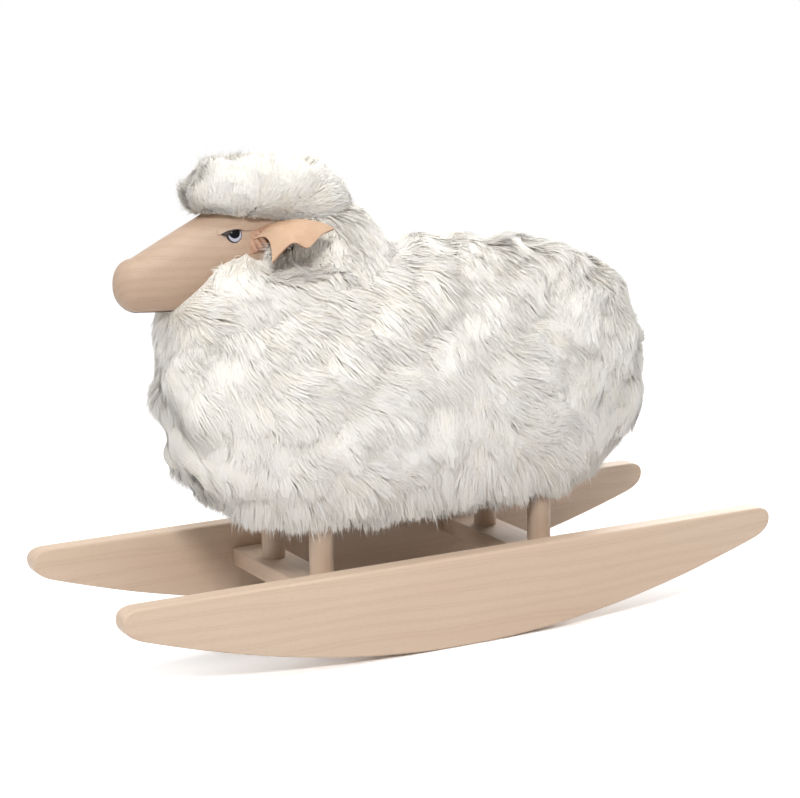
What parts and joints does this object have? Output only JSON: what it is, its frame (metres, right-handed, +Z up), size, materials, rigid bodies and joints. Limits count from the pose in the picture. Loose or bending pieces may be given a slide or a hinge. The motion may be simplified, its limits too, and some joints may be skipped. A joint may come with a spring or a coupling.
{
  "type": "rocking sheep toy",
  "caption": "Ride-on rocking toy: a wool-covered sheep with a carved wooden head and leather ears, standing on dowel legs between curved wooden rockers.",
  "frame": {"origin": "on the floor, midway between the two rockers and midway along them", "axes": "+Z up; the head looks along -Y; +X is the sheep's left side"},
  "size_m": [0.271, 0.76, 0.5062],
  "materials": {
    "beech": "satin",
    "plywood": "matte",
    "wool": "matte",
    "ear_leather": "matte",
    "eye_glass": "gloss",
    "screw_steel": "satin"
  },
  "bodies": {
    "body": {"rocker_left": "beech", "rocker_right": "beech", "cross_board_front": "beech", "cross_board_rear": "beech", "leg_front_left": "beech", "leg_front_right": "beech", "leg_rear_left": "beech", "leg_rear_right": "beech", "joint_pin_front_left_a": "beech", "joint_pin_front_left_b": "beech", "joint_pin_rear_left_a": "beech", "joint_pin_rear_left_b": "beech", "joint_pin_front_right_a": "beech", "joint_pin_front_right_b": "beech", "joint_pin_rear_right_a": "beech", "joint_pin_rear_right_b": "beech", "spine_rail": "beech", "neck_post": "beech", "head": "beech", "base_board": "plywood", "former_front": "plywood", "former_rear": "plywood", "body_fleece": "wool", "neck_fleece": "wool", "forehead_fleece": "wool", "eye_left": "eye_glass", "eye_right": "eye_glass", "leg_screw_front_left": "screw_steel", "leg_screw_front_right": "screw_steel", "leg_screw_rear_left": "screw_steel", "leg_screw_rear_right": "screw_steel"},
    "ear_left": {"ear_left": "ear_leather"},
    "ear_right": {"ear_right": "ear_leather"}
  },
  "joints": [
    {"name": "ear_left_flex", "type": "hinge", "parent": "body", "child": "ear_left", "pos_m": [0.0385, -0.18, 0.4295], "axis": [0, -0.8, -0.6], "range_deg": [-20, 20], "stiffness_Nm_per_rad": 0.05},
    {"name": "ear_right_flex", "type": "hinge", "parent": "body", "child": "ear_right", "pos_m": [-0.0385, -0.18, 0.4295], "axis": [0, 0.8, 0.6], "range_deg": [-20, 20], "stiffness_Nm_per_rad": 0.05}
  ]
}
